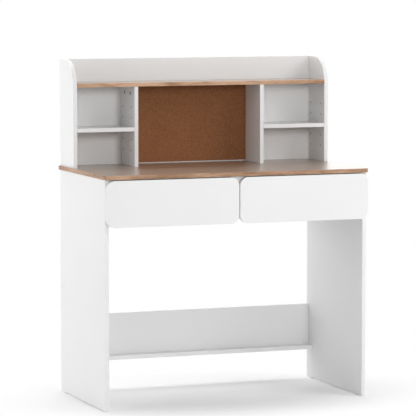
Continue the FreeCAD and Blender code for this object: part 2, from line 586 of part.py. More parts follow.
        # Drawer runner: a Z profile under the drawer side, its track on the front roller
        runner = drawer + name + "_runner"
        plate_x = box_face - inward.x * STEEL
        track_x = wall + inward.x * (STEEL + TRACK_CLEARANCE)
        foot_x = box_face + inward.x * RUNNER_FOOT
        rail = box(plate_x, box_face, RUNNER_FRONT, RUNNER_BACK, BOX_FOOT - STEEL, TRACK_TOP)
        rail = rail.fuse(box(track_x, box_face, RUNNER_FRONT, RUNNER_BACK, TRACK_UNDER, TRACK_TOP))
        rail = rail.fuse(box(plate_x, foot_x, RUNNER_FRONT, RUNNER_BACK, BOX_FOOT - STEEL, BOX_FOOT))
        back_axis = V(plate_x, back_roller_y, ROLLER_HEIGHT)
        plate_stand_off = RUNNER_SPACE - STEEL
        outward = inward * -1
        rail = rail.fuse(rod(back_axis, outward, AXLE_COLLAR_RADIUS, plate_stand_off - far_head))
        rail = rail.fuse(rod(back_axis, outward, AXLE_RADIUS, plate_stand_off - near_head))
        head_root = back_axis + outward * (plate_stand_off - near_head)
        rail = rail.fuse(rod(head_root, outward, AXLE_COLLAR_RADIUS, AXLE_HEAD))
        boards[runner] = rail.removeSplitter()
        for share in RUNNER_SCREW_SHARES:
            y = span(RUNNER_FRONT, RUNNER_BACK, share)
            head = V(plate_x, y, BOX_FOOT + RUNNER_SCREW_RISE)
            pan_screw(drawer + "screws", runner, box_side, head, inward, STEEL)

        # Nylon rollers: the front one on the channel's axle, the back one on the runner's
        for place, y in (("front", front_axis.y), ("back", back_roller_y)):
            start = V(wall + inward.x * roller_near, y, ROLLER_HEIGHT)
            wheel = rod(start, inward, ROLLER_RADIUS, ROLLER_WIDTH)
            rims = [edge for edge in wheel.Edges if isinstance(edge.Curve, Part.Circle)]
            bore = rod(start, inward, AXLE_RADIUS + AXLE_FIT, ROLLER_WIDTH)
            roller = drawer + name + "_" + place + "_roller"
            boards[roller] = wheel.makeFillet(ROLLER_EASE, rims).cut(bore)

# One file for each board, runner and roller with its holes drilled, and one for each kind of fastener
for name, solid in boards.items():
    if holes[name]:
        solid = solid.cut(holes[name])
    Part.makeCompound(solid.Solids).exportStep("parts/" + name + ".step")
for name, solids in groups.items():
    Part.makeCompound(solids).exportStep("parts/" + name + ".step")
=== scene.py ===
import json
import math

import bmesh
import bpy
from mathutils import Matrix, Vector


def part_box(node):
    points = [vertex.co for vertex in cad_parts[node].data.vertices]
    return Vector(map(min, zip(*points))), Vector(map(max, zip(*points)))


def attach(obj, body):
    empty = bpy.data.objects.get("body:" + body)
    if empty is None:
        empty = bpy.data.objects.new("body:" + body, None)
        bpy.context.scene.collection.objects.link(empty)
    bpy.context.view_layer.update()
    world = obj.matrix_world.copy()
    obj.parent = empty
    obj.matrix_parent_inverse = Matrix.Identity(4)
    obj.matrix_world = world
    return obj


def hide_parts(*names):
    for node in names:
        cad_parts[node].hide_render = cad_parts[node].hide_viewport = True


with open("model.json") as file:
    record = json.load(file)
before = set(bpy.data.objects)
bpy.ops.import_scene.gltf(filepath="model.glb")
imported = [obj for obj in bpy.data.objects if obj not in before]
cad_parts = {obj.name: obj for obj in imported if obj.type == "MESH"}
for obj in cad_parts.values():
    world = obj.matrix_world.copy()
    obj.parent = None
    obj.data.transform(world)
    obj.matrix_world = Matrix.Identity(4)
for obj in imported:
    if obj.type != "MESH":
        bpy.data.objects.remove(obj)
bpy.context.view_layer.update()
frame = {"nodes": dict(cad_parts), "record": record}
nodes = frame["nodes"]


# Leg panels and the boards between them: particle board, 12 mm thick, faced with white melamine
# and edged with a white band. They are cut and drilled flat, then drawn together with cams.
class Wire:
    """A node socket that takes arithmetic: each sum or product adds a Math node to its tree."""

    def __init__(self, tree, socket):
        self.tree = tree
        self.socket = socket

    def node(self, kind, settings, inputs, output=None):
        """Any node: its settings are set first, then the values or wires of its sockets."""
        made = self.tree.nodes.new(kind)
        for name, value in settings.items():
            if name == "stops":
                while len(made.color_ramp.elements) < len(value):
                    made.color_ramp.elements.new(1.0)
                for element, (place, colour) in zip(made.color_ramp.elements, value):
                    element.position = place
                    element.color = (*colour, 1.0)
            else:
                setattr(made, name, value)
        for socket in made.inputs:
            value = inputs.get(socket.identifier)
            wires = value if isinstance(value, list) else [value]
            if isinstance(wires[0], Wire):
                for wire in wires:
                    self.tree.links.new(wire.socket, socket)
            elif value is not None:
                socket.default_value = value
        first = Wire(self.tree, made.outputs[0])
        return first.also(output) if output else first

    def also(self, output):
        """Another output of the same node."""
        outputs = self.socket.node.outputs
        return Wire(self.tree, next(socket for socket in outputs if socket.identifier == output))

    def math(self, operation, first, second=0.0):
        """A Math node on numbers or wires."""
        return self.node(
            "ShaderNodeMath", {"operation": operation}, {"Value": first, "Value_001": second})

    def __add__(self, other):
        return self.math("ADD", self, other)

    def __radd__(self, other):
        return self.math("ADD", other, self)

    def __sub__(self, other):
        return self.math("SUBTRACT", self, other)

    def __rsub__(self, other):
        return self.math("SUBTRACT", other, self)

    def __mul__(self, other):
        return self.math("MULTIPLY", self, other)

    def __rmul__(self, other):
        return self.math("MULTIPLY", other, self)

    def __truediv__(self, other):
        return self.math("DIVIDE", self, other)

    def __rtruediv__(self, other):
        return self.math("DIVIDE", other, self)


SOCKETS = {
    "colour": "Base Color", "roughness": "Roughness", "metallic": "Metallic",
    "specular": "Specular IOR Level", "coat": "Coat Weight", "coat_roughness": "Coat Roughness",
    "normal": "Normal",
}


def new_finish(name, **constants):
    """A material, its shader node, and a wire of the object coordinates in metres."""
    material = bpy.data.materials.new(name)
    material.use_nodes = True
    shader = material.node_tree.nodes["Principled BSDF"]
    for socket, value in constants.items():
        shader.inputs[SOCKETS[socket]].default_value = value
    coordinates = material.node_tree.nodes.new("ShaderNodeTexCoord")
    return material, shader, Wire(material.node_tree, coordinates.outputs["Object"])


def feed(shader, **wires):
    """Links wires to the shader's sockets."""
    for socket, wire in wires.items():
        wire.tree.links.new(wire.socket, shader.inputs[SOCKETS[socket]])


def noise(place, scale, detail=2.0, roughness=0.5, stretch=(1.0, 1.0, 1.0), output="Fac"):
    """Soft noise about 0.5, with its scale per metre and a stretch per axis."""
    stretched = place.node("ShaderNodeMapping", {}, {"Vector": place, "Scale": stretch})
    sockets = {"Vector": stretched, "Scale": scale, "Detail": detail, "Roughness": roughness}
    return place.node("ShaderNodeTexNoise", {}, sockets, output)


def between(share, low, high):
    """A number that goes from low to high as the share goes from 0 to 1."""
    return low + share * (high - low)


def mixed(share, first, second):
    """A colour between two others, wires or (r, g, b)."""
    ends = [end if isinstance(end, Wire) else (*end, 1.0) for end in (first, second)]
    return share.node(
        "ShaderNodeMix", {"data_type": "RGBA"},
        {"Factor_Float": share, "A_Color": ends[0], "B_Color": ends[1]}, "Result_Color")


def bumped(shader, height, depth):
    """Relief of a given depth in metres from a height wire."""
    relief = height.node(
        "ShaderNodeBump", {}, {"Height": height, "Distance": depth, "Strength": 1.0})
    feed(shader, normal=relief)


def grained_finish(name, tones, roughness, grain, depth, cloud=None, marks=None, **constants):
    """Two close tones blended by clouds, a gloss varied by marks, and the relief of a fine grain.

    The grain also does the work of clouds or marks that aren't given.
    """
    material, shader, place = new_finish(name, **constants)
    relief = noise(place, **grain)
    shade = noise(place, **cloud) if cloud else relief
    gloss = noise(place, **marks) if marks else relief
    feed(shader, colour=mixed(shade, *tones), roughness=between(gloss, *roughness))
    bumped(shader, relief, depth)
    return material


def dress(material, *names):
    """Gives CAD nodes a finish."""
    for name in names:
        for slot in nodes[name].material_slots:
            slot.link = "OBJECT"
            slot.material = material


# The pearl texture is pressed into the melamine, and the faint marks are from wiping
WHITE = grained_finish(
    "white_melamine", tones=((0.845, 0.845, 0.845), (0.875, 0.875, 0.873)), roughness=(0.36, 0.52),
    grain=dict(scale=700.0), depth=0.00004, cloud=dict(scale=5.0, detail=3.0),
    marks=dict(scale=26.0, detail=4.0, roughness=0.65, stretch=(1.0, 1.0, 3.0)), specular=0.4)
dress(
    WHITE, "left_leg_panel", "right_leg_panel", "front_rail", "rear_apron", "centre_partition",
    "lower_shelf", "lower_back_board")


# Foot glides: grey moulded plastic pads, each held by a nail driven into the lower edge of a leg
# panel. They lift the raw board edge clear of the floor.
GLIDE_PLASTIC = grained_finish(
    "glide_plastic", tones=((0.52, 0.52, 0.51), (0.6, 0.6, 0.59)), roughness=(0.5, 0.7),
    grain=dict(scale=1200.0), depth=0.00006, cloud=dict(scale=40.0))
dress(GLIDE_PLASTIC, "foot_glides")


# Desktop and top shelf: particle board faced with a printed wood grain under clear melamine.
# The grain runs along the width, with long streaks, soft figure and short pores.
FACE_TONES = ((0.21, 0.142, 0.1), (0.295, 0.205, 0.149), (0.38, 0.276, 0.207))
CLEAR_COAT_ROUGHNESS = 0.33

# Scales per metre, along the grain and across it
SWAY = (1.5, 6.6)
FIGURE = (1.6, 26.0)
STREAK = (5.0, 210.0)
FIBRE = (18.0, 900.0)
PORE = (70.0, 1500.0)

# What each adds to the tone, and how far the tone goes from its middle to dark and pale
FIGURE_SHARE = 0.5
STREAK_SHARE = 0.34
FIBRE_SHARE = 0.16
SWAY_SHIFT = 0.18
TONE_MIDDLE = 0.5
TONE_REACH = 0.2

# Where the pore noise starts and ends a pit, and what streaks, fibres and pits do to the surface
PIT_EDGE = (0.64, 0.74)
PIT_DARKENING = 0.45
PIT_DULLING = 0.12
PIT_SINK = 0.8
STREAK_DULLING = 0.1
GRAIN_RISE = 0.5
PRINT_DEPTH = 0.00005


def clamped(wire, low, high):
    """0 below low, 1 above high, and smooth between."""
    return wire.node(
        "ShaderNodeMapRange", {"interpolation_type": "SMOOTHSTEP"},
        {"Value": wire, "From Min": low, "From Max": high}, "Result")


def ramped(wire, *stops):
    """A colour read off stops, each a value and an (r, g, b)."""
    return wire.node("ShaderNodeValToRGB", {"stops": stops}, {"Fac": wire}, "Color")


def drawn_out(run, scales, detail, roughness=0.5, shorter=1.0):
    """Noise drawn out along X, from its scales along and across the grain."""
    along, across = scales
    return noise(run, 1.0, detail, roughness, (along * shorter, across, across))


def wood_print(name, tones, roughness, along=None, shorter=1.0, contrast=1.0, **constants):
    """Printed wood grain; along turns a place wire so that its X runs with the grain."""
    material, shader, place = new_finish(name, coat_roughness=CLEAR_COAT_ROUGHNESS, **constants)
    dark, mid, pale = tones
    run = along(place) if along else place
    sway = drawn_out(run, SWAY, detail=2.0)
    figure = drawn_out(run, FIGURE, detail=4.0, roughness=0.6, shorter=shorter)
    streak = drawn_out(run, STREAK, detail=3.0, roughness=0.6, shorter=shorter)
    fibre = drawn_out(run, FIBRE, detail=2.0)
    pits = clamped(drawn_out(run, PORE, detail=1.0), *PIT_EDGE)
    tone = (
        figure * FIGURE_SHARE + streak * STREAK_SHARE + fibre * FIBRE_SHARE
        + (sway - TONE_MIDDLE) * SWAY_SHIFT)
    reach = TONE_REACH / contrast
    colour = ramped(tone, (TONE_MIDDLE - reach, dark), (TONE_MIDDLE, mid), (TONE_MIDDLE + reach, pale))
    feed(
        shader,
        colour=mixed(pits * PIT_DARKENING, colour, dark),
        roughness=roughness + streak * STREAK_DULLING + pits * PIT_DULLING)
    bumped(shader, streak * GRAIN_RISE + fibre * GRAIN_RISE - pits * PIT_SINK, PRINT_DEPTH)
    return material


WOOD_FACE = wood_print("wood_face", FACE_TONES, roughness=0.3, contrast=1.4, specular=0.5, coat=1.0)
dress(WOOD_FACE, "desktop", "hutch_top_shelf")


# Edge bands: 1 mm wood-print strips glued round the desktop and along the top shelf's front.
# They are trimmed flush, eased by hand, and a little warmer in colour than the face. The shelf's
# band is the same strip, painted paler than the desk's band: painted light on the higher band.
DESK_BAND_TONES = ((0.278, 0.155, 0.088), (0.415, 0.253, 0.159), (0.542, 0.348, 0.234))
# The shelf band's tones are the desk band's tones made paler, as painted light; it is the same strip.
SHELF_BAND_PAINTED_LIGHTER_TONES = ((0.36, 0.204, 0.117), (0.54, 0.332, 0.211), (0.68, 0.442, 0.298))
SIDE_STRIP_EDGE = (0.4, 0.6)


def component(vector, axis):
    """One of X, Y and Z of a vector wire."""
    return vector.node("ShaderNodeSeparateXYZ", {}, {"Vector": vector}, axis)


def face_normal(place):
    """The direction that the surface faces."""
    return place.node("ShaderNodeNewGeometry", {}, {}, "Normal")


def drawn_towards(place, other, share):
    """A place moved towards another by a share, a number or a wire."""
    return place.node(
        "ShaderNodeMix", {"data_type": "VECTOR"},
        {"Factor_Float": share, "A_Vector": place, "B_Vector": other}, "Result_Vector")


def along_band(place):
    """Runs with X on the front and back strips, and with Y on the side strips."""
    sideways = component(face_normal(place), "X")
    on_side_strip = clamped(sideways * sideways, *SIDE_STRIP_EDGE)
    quarter_turn = (0.0, 0.0, math.pi / 2)
    turned = place.node("ShaderNodeMapping", {}, {"Vector": place, "Rotation": quarter_turn})
    return drawn_towards(place, turned, on_side_strip)


# The shelf band is painted paler than the desk band: painted light, not a different strip.
for name, tones, node in (
        ("desk_band", DESK_BAND_TONES, "desktop_edge_band"),
        ("shelf_band_painted_lighter", SHELF_BAND_PAINTED_LIGHTER_TONES, "top_shelf_edge_band")):
    band = wood_print(
        name, tones, roughness=0.45, along=along_band, shorter=4.0, contrast=2.2, specular=0.25)
    dress(band, node)


# Hutch: two sides with a rounded top corner, two dividers and a back board, all white melamine
# board. The sides stand on dowels and the dividers on screws through the desktop, cams hold the top
# shelf between them, and the back board is screwed on from behind.
dress(
    WHITE, "hutch_left_side", "hutch_right_side", "hutch_left_divider", "hutch_right_divider",
    "hutch_back_board")


# Drilled rows for shelf pins: blind 5 mm holes in the hutch sides and dividers, bored through the
# melamine into raw particle board, which shows brown inside each hole and in a thin rim.
HOLE_SIDES = 16
HOLE_DEPTH = 0.0078
HOLE_WALL = 0.0003
HOLE_SINK = 0.00004
MM = 0.001
CHIP_SCALE = 1300.0
CRUMB_SCALE = 2600.0
CHIP_SHARE = 0.6
CHIP_TONES = ((0.13, 0.075, 0.04), (0.33, 0.21, 0.12))
CHIP_ROUGHNESS = (0.8, 1.0)
CHIP_DEPTH = 0.0002


def new_recipe(name, **inputs):
    """A geometry tree with a start, named inputs of given kinds and a finish; wires of them."""
    tree = bpy.data.node_groups.new(name, "GeometryNodeTree")
    kinds = {"start": "Geometry", **inputs, "finish": "Material"}
    for label, kind in kinds.items():
        tree.interface.new_socket(label, in_out="INPUT", socket_type="NodeSocket" + kind)
    tree.interface.new_socket("made", in_out="OUTPUT", socket_type="NodeSocketGeometry")
    entry = tree.nodes.new("NodeGroupInput")
    return {socket.name: Wire(tree, socket) for socket in entry.outputs if socket.name}


def end_recipe(shape, finish):
    """Makes instances real, gives them their finish and ends the tree."""
    real = shape.node("GeometryNodeRealizeInstances", {}, {"Geometry": shape})
    coated = real.node("GeometryNodeSetMaterial", {}, {"Geometry": real, "Material": finish})
    leave = shape.tree.nodes.new("NodeGroupOutput")
    shape.tree.links.new(coated.socket, leave.inputs["made"])
    return shape.tree


def set_out(shape, start):
    """An instance of a shape on each start point, with its Z turned to the point's aim."""
    aim = shape.node(
        "GeometryNodeInputNamedAttribute", {"data_type": "FLOAT_VECTOR"}, {"Name": "aim"}, "Attribute")
    turn = aim.node("FunctionNodeAlignRotationToVector", {"axis": "Z"}, {"Vector": aim})
    return shape.node(
        "GeometryNodeInstanceOnPoints", {}, {"Points": start, "Instance": shape, "Rotation": turn})


def vector(wire, **parts):
    """A vector from the X, Y and Z that are given, numbers or wires."""
    return wire.node("ShaderNodeCombineXYZ", {}, parts)


def moved(shape, offset):
    """A shape moved by a vector wire."""
    return shape.node("GeometryNodeTransform", {}, {"Geometry": shape, "Translation": offset})


def placed(name, data):
    """A new object in the scene."""
    thing = bpy.data.objects.new(name, data)
    bpy.context.scene.collection.objects.link(thing)
    return thing


def make(name, recipe, places, **values):
    """Runs a recipe on places, each a point and an aim; the result is a plain mesh object."""
    start = bpy.data.meshes.new(name + "_places")
    start.from_pydata([point for point, _ in places], [], [])
    aims = start.attributes.new("aim", "FLOAT_VECTOR", "POINT")
    for item, (_, aim) in zip(aims.data, places):
        item.vector = aim
    piece = placed(name, start)
    modifier = piece.modifiers.new(name, "NODES")
    modifier.node_group = recipe
    for socket in recipe.interface.items_tree:
        if socket.name in values:
            modifier[socket.identifier] = values[socket.name]
    shown = piece.evaluated_get(bpy.context.evaluated_depsgraph_get())
    mesh = bpy.data.meshes.new_from_object(shown)
    piece.modifiers.remove(modifier)
    piece.data = mesh
    mesh.name = name
    return piece


def bored_hole():
    """A thin cup: the raw wall and floor of a drilled hole, its mouth at the origin."""
    wire = new_recipe("bored_hole", radius="Float", depth="Float", wall="Float")
    radius, depth, wall = wire["radius"], wire["depth"], wire["wall"]
    plug = radius.node(
        "GeometryNodeMeshCylinder", {"fill_type": "NGON"},
        {"Vertices": HOLE_SIDES, "Radius": radius, "Depth": depth}, "Mesh")
    rim = plug.node(
        "GeometryNodeExtrudeMesh", {"mode": "FACES"},
        {"Mesh": plug, "Selection": plug.also("Top"), "Offset Scale": 0.0}, "Mesh")
    drawn_in = rim.node(
        "GeometryNodeScaleElements", {},
        {"Geometry": rim, "Selection": rim.also("Top"), "Scale": 1.0 - wall / radius})
    cup = rim.node(
        "GeometryNodeExtrudeMesh", {"mode": "FACES"},
        {"Mesh": drawn_in, "Selection": rim.also("Top"), "Offset Scale": wall - depth}, "Mesh")
    seated = moved(cup, vector(depth, Z=depth * -0.5))
    return end_recipe(set_out(seated, wire["start"]), wire["finish"])


def cells(place, scale, output, feature="F1"):
    """Cells with a scale per metre: a random colour each, or the distance from their edges."""
    return place.node(
        "ShaderNodeTexVoronoi", {"feature": feature}, {"Vector": place, "Scale": scale}, output)


def colour_part(colour, name):
    """One of Red, Green and Blue of a colour wire, as a number."""
    return colour.node("ShaderNodeSeparateColor", {}, {"Color": colour}, name)


def raw_particle_board():
    """Pressed wood chips, brown and crumbly."""
    material, shader, place = new_finish("raw_particle_board", specular=0.15)
    chip = colour_part(cells(place, CHIP_SCALE, "Color"), "Red")
    crumb = noise(place, CRUMB_SCALE)
    feed(
        shader,
        colour=mixed(chip * CHIP_SHARE + crumb * (1.0 - CHIP_SHARE), *CHIP_TONES),
        roughness=between(crumb, *CHIP_ROUGHNESS))
    bumped(shader, chip, CHIP_DEPTH)
    return material


hole_places = []
for mount in frame["record"]["mounts"]:
    if mount["kind"] == "bolt_pattern":
        centre = Vector(mount["pos_m"])
        aim = Vector(mount["axis"])
        half_deep = mount["dims"]["spacing_x_mm"] * MM / 2
        half_high = mount["dims"]["spacing_y_mm"] * MM / 2
        hole_radius = mount["dims"]["hole_r_mm"] * MM - HOLE_SINK
        hole_places += [
            (centre + Vector((0.0, deep, high)) - aim * HOLE_SINK, aim)
            for deep in (-half_deep, half_deep) for high in (-half_high, half_high)]
hole_linings = make(
    "pin_hole_linings", bored_hole(), hole_places, radius=hole_radius, depth=HOLE_DEPTH,
    wall=HOLE_WALL, finish=raw_particle_board())
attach(hole_linings, "table_frame")


# Cork board: a 4 mm sheet of pressed cork granules, glued to the back board in the middle bay.
# The granules differ in size and tone, with dark bark specks among them.
CORK_CELL = 0.0016
CORK_RELIEF = 0.0003
GRANULE_SCALE = 560.0
GRIT_SCALE = 1250.0
CORK_CLOUD_SCALE = 14.0
CORK_WEAR_SCALE = 95.0

# Noise that moves the granules' edges out of line, by about 2 mm at most
SHAKE_SCALE = 300.0
SHAKE = 0.002

# Stops of the cork's tone, what granules, grit and clouds add to it, and its roughness
CORK_STOPS = (
    (0.15, (0.225, 0.09, 0.037)), (0.5, (0.34, 0.145, 0.065)), (0.85, (0.42, 0.192, 0.091)))
BARK_TONE = (0.12, 0.05, 0.022)
GRANULE_SHARE = 0.5
GRIT_SHARE = 0.3
CORK_CLOUD_SHARE = 0.2
CORK_ROUGHNESS = (0.82, 0.97)

# Cracks between granules and bark specks: where they start and end, and how dark they are
CRACK_EDGE = (0.0, 0.09)
CRACK_DARKENING = 0.35
BARK_EDGE = (0.93, 0.97)
BARK_DARKENING = 0.5

# Relief of the granules: their rounding in the finish and in the mesh, and how uneven they are
FINE_ROUNDING = (0.0, 0.2)
FINE_UNEVENNESS = 0.4
FINE_DEPTH = 0.00035
PRESSED_ROUNDING = (0.0, 0.35)
PRESSED_SHARE = 0.6


def pressed_cork():
    """Brown granules with fine grit, dark cracks between them and specks of bark."""
    material, shader, place = new_finish("pressed_cork", specular=0.2)
    shaken = drawn_towards(place, noise(place, SHAKE_SCALE, output="Color"), SHAKE)
    granule = colour_part(cells(shaken, GRANULE_SCALE, "Color"), "Red")
    grit = colour_part(cells(shaken, GRIT_SCALE, "Color"), "Green")
    gaps = cells(shaken, GRANULE_SCALE, "Distance", feature="DISTANCE_TO_EDGE")
    cloud = noise(place, CORK_CLOUD_SCALE, detail=3.0)
    tone = granule * GRANULE_SHARE + grit * GRIT_SHARE + cloud * CORK_CLOUD_SHARE
    crack = 1.0 - clamped(gaps, *CRACK_EDGE)
    bark = clamped(grit, *BARK_EDGE)
    darkening = crack * CRACK_DARKENING + bark * BARK_DARKENING
    feed(
        shader,
        colour=mixed(darkening, ramped(tone, *CORK_STOPS), BARK_TONE),
        roughness=between(grit, *CORK_ROUGHNESS))
    bumped(shader, clamped(gaps, *FINE_ROUNDING) + granule * FINE_UNEVENNESS, FINE_DEPTH)
    return material


def cork_sheet():
    """A block with fine cells whose front sinks between the granules."""
    wire = new_recipe(
        "cork_sheet", middle="Vector", size="Vector", columns="Int", rows="Int", relief="Float")
    counts = {"Vertices X": wire["columns"], "Vertices Y": 2, "Vertices Z": wire["rows"]}
    block = wire["size"].node("GeometryNodeMeshCube", {}, {"Size": wire["size"], **counts}, "Mesh")
    hung = moved(block, wire["middle"])
    place = hung.node("GeometryNodeInputPosition", {}, {})
    middle_depth = component(wire["middle"], "Y")
    in_front = place.math("GREATER_THAN", middle_depth, component(place, "Y"))
    gaps = cells(place, GRANULE_SCALE, "Distance", feature="DISTANCE_TO_EDGE")
    worn = place.node(
        "ShaderNodeTexNoise", {}, {"Vector": place, "Scale": CORK_WEAR_SCALE, "Detail": 3.0}, "Fac")
    proud = clamped(gaps, *PRESSED_ROUNDING) * PRESSED_SHARE
    sink = wire["relief"] * (1.0 - proud - worn * (1.0 - PRESSED_SHARE))
    pressed = hung.node(
        "GeometryNodeSetPosition", {},
        {"Geometry": hung, "Selection": in_front, "Offset": vector(sink, Y=sink)})
    return end_recipe(pressed, wire["finish"])


cork_low, cork_high = (Vector(corner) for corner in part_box("cork_board"))
cork_span = cork_high - cork_low
cork_piece = make(
    "cork_sheet", cork_sheet(), [((0.0, 0.0, 0.0), (0.0, 0.0, 1.0))], middle=(cork_low + cork_high) / 2,
    size=cork_span, columns=round(cork_span.x / CORK_CELL), rows=round(cork_span.z / CORK_CELL),
    relief=CORK_RELIEF, finish=pressed_cork())
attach(cork_piece, "table_frame")
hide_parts("cork_board")


# Small shelves: loose white boards that rest on four plated pins each, so they can be moved.
# The pins push into the drilled rows. Their zinc plating is bright, with a faint blue cast and
# drawn marks.
PLATED = grained_finish(
    "plated_steel", tones=((0.55, 0.57, 0.6), (0.72, 0.73, 0.74)), roughness=(0.24, 0.46),
    grain=dict(scale=900.0, detail=3.0, roughness=0.6, stretch=(1.0, 1.0, 0.12)), depth=0.00003,
    cloud=dict(scale=60.0), metallic=1.0)
dress(WHITE, "left_small_shelf", "right_small_shelf")
dress(PLATED, "shelf_pins")


# Drawers: white fronts with rounded corners and no handles, on boxes of white board. A sheet of
# white-lacquered hardboard slides into grooves as the bottom, primed grey below over its mesh print.
LACQUER_TONES = ((0.79, 0.79, 0.78), (0.84, 0.84, 0.83))
PRIMER_TONES = ((0.33, 0.33, 0.325), (0.43, 0.43, 0.425))
LACQUER_ROUGHNESS = 0.42
PRIMER_ROUGHNESS = 0.8
PULP_DULLING = 0.1
PULP_SCALE = 420.0
LACQUER_CLOUD_SCALE = 30.0
TOP_FACE_EDGE = (-0.4, 0.4)
MESH_PITCH = 0.0016
MESH_DEPTH = 0.00012


def lacquered_hardboard():
    """Wood pulp pressed on a wire mesh, lacquered white above and primed grey below."""
    material, shader, place = new_finish("lacquered_hardboard")
    top = clamped(component(face_normal(place), "Z"), *TOP_FACE_EDGE)
    pulp = noise(place, PULP_SCALE, detail=4.0, roughness=0.7)
    lacquer = mixed(noise(place, LACQUER_CLOUD_SCALE, detail=3.0), *LACQUER_TONES)
    primer = mixed(pulp, *PRIMER_TONES)
    turns = math.tau / MESH_PITCH
    waves = [place.math("SINE", component(place, axis) * turns) for axis in ("X", "Y")]
    feed(
        shader,
        colour=mixed(top, primer, lacquer),
        roughness=between(top, PRIMER_ROUGHNESS, LACQUER_ROUGHNESS) + pulp * PULP_DULLING)
    bumped(shader, pulp + waves[0] * waves[1] * (1.0 - top), MESH_DEPTH)
    return material


HARDBOARD = lacquered_hardboard()
for drawer in ("left_drawer_", "right_drawer_"):
    dress(WHITE, drawer + "front", drawer + "left_side", drawer + "right_side", drawer + "back")
    dress(HARDBOARD, drawer + "bottom")


# Drawer runners: bent steel strip with a baked white powder coat, screwed to the boxes and to the
# carcass. Nylon rollers turn on riveted stubs at their ends.
POWDER_COAT = grained_finish(
    "powder_coat", tones=((0.8, 0.8, 0.79), (0.85, 0.85, 0.84)), roughness=(0.3, 0.44),
    grain=dict(scale=520.0, detail=1.0), depth=0.00008, cloud=dict(scale=22.0, detail=3.0),
    specular=0.5)
NYLON = grained_finish(
    "moulded_nylon", tones=((0.74, 0.735, 0.7), (0.82, 0.815, 0.78)), roughness=(0.42, 0.58),
    grain=dict(scale=800.0), depth=0.00003, cloud=dict(scale=90.0))
for drawer in ("left_drawer_", "right_drawer_"):
    for side in ("left_", "right_"):
        dress(POWDER_COAT, drawer + side + "runner", drawer + side + "channel")
        dress(NYLON, drawer + side + "front_roller", drawer + side + "back_roller")


# Fasteners: die-cast zinc cams with a cross slot, plated bolts, and beech dowels.
# All but the cam faces are hidden in the boards.
CAST_ZINC = grained_finish(
    "cast_zinc", tones=((0.36, 0.365, 0.375), (0.52, 0.525, 0.53)), roughness=(0.38, 0.6),
    grain=dict(scale=600.0, detail=3.0, roughness=0.6), depth=0.00008, metallic=1.0)
BEECH = grained_finish(
    "beech", tones=((0.5, 0.33, 0.19), (0.66, 0.47, 0.3)), roughness=(0.6, 0.8),
    grain=dict(scale=1.0, detail=3.0, roughness=0.6, stretch=(60.0, 900.0, 900.0)), depth=0.0001)
dress(CAST_ZINC, "cam_locks", "left_drawer_cam_locks", "right_drawer_cam_locks")
dress(BEECH, "wood_dowels")
dress(PLATED, "cam_bolts", "left_drawer_cam_bolts", "right_drawer_cam_bolts")


# Screws: plated steel with a cross recess. Countersunk ones hold the hutch and its back board and
# the boards under the desktop, and small pan heads hold the runners to the boxes and the channels
# to the carcass.
SCREW_BODIES = {
    "back_board_screws": "table_frame", "assembly_screws": "table_frame",
    "channel_screws": "table_frame", "left_drawer_screws": "left_drawer",
    "right_drawer_screws": "right_drawer",
}
SCREW_SIDES = 20
TOUCH = 0.00001
SIZE_DIGITS = 5

# The recess: half the length of an arm as a share of the head, the arm's width as a share of that,
# and the height of the block that cuts it, half above the head, as a share of the head's height
RECESS_SHARE = 0.55
RECESS_WIDTH = 0.42
RECESS_BLOCK = 1.3
PAN_TOP_SHARE = 0.74


def cross_head_screw():
    """A screw with its head's top at the origin and its tip down Z."""
    wire = new_recipe(
        "cross_head_screw", top="Float", foot="Float", height="Float", shank="Float", length="Float",
        recess="Float")
    top, height = wire["top"], wire["height"]
    radii = {"Radius Top": top, "Radius Bottom": wire["foot"]}
    cone = top.node(
        "GeometryNodeMeshCone", {"fill_type": "NGON"},
        {"Vertices": SCREW_SIDES, "Depth": height, **radii}, "Mesh")
    head = moved(cone, vector(top, Z=height * -1.0))
    long = wire["recess"] * 2.0
    wide = wire["recess"] * RECESS_WIDTH
    arms = []
    for across, along in ((long, wide), (wide, long)):
        size = vector(top, X=across, Y=along, Z=height * RECESS_BLOCK)
        arms.append(size.node("GeometryNodeMeshCube", {}, {"Size": size}, "Mesh"))
    cut = head.node(
        "GeometryNodeMeshBoolean", {"operation": "DIFFERENCE"}, {"Mesh 1": head, "Mesh 2": arms}, "Mesh")
    reach = wire["length"] - height
    rod = top.node(
        "GeometryNodeMeshCylinder", {"fill_type": "NGON"},
        {"Vertices": SCREW_SIDES, "Radius": wire["shank"], "Depth": reach}, "Mesh")
    stem = moved(rod, vector(top, Z=reach * -0.5 - height))
    screw = cut.node("GeometryNodeJoinGeometry", {}, {"Geometry": [cut, stem]})
    return end_recipe(set_out(screw, wire["start"]), wire["finish"])


def loose_solids(node):
    """The corners of each solid of a CAD node, from a merged copy of its mesh."""
    shape = bmesh.new()
    shape.from_mesh(nodes[node].data)
    bmesh.ops.remove_doubles(shape, verts=shape.verts, dist=TOUCH)
    waiting = set(shape.verts)
    solids = []
    while waiting:
        reached = [waiting.pop()]
        corners = []
        while reached:
            corner = reached.pop()
            corners.append(corner.co.copy())
            fresh = {edge.other_vert(corner) for edge in corner.link_edges} & waiting
            waiting -= fresh
            reached += fresh
        solids.append(sorted(corners, key=tuple))
    shape.free()
    return sorted(solids, key=lambda corners: tuple(corners[0]))


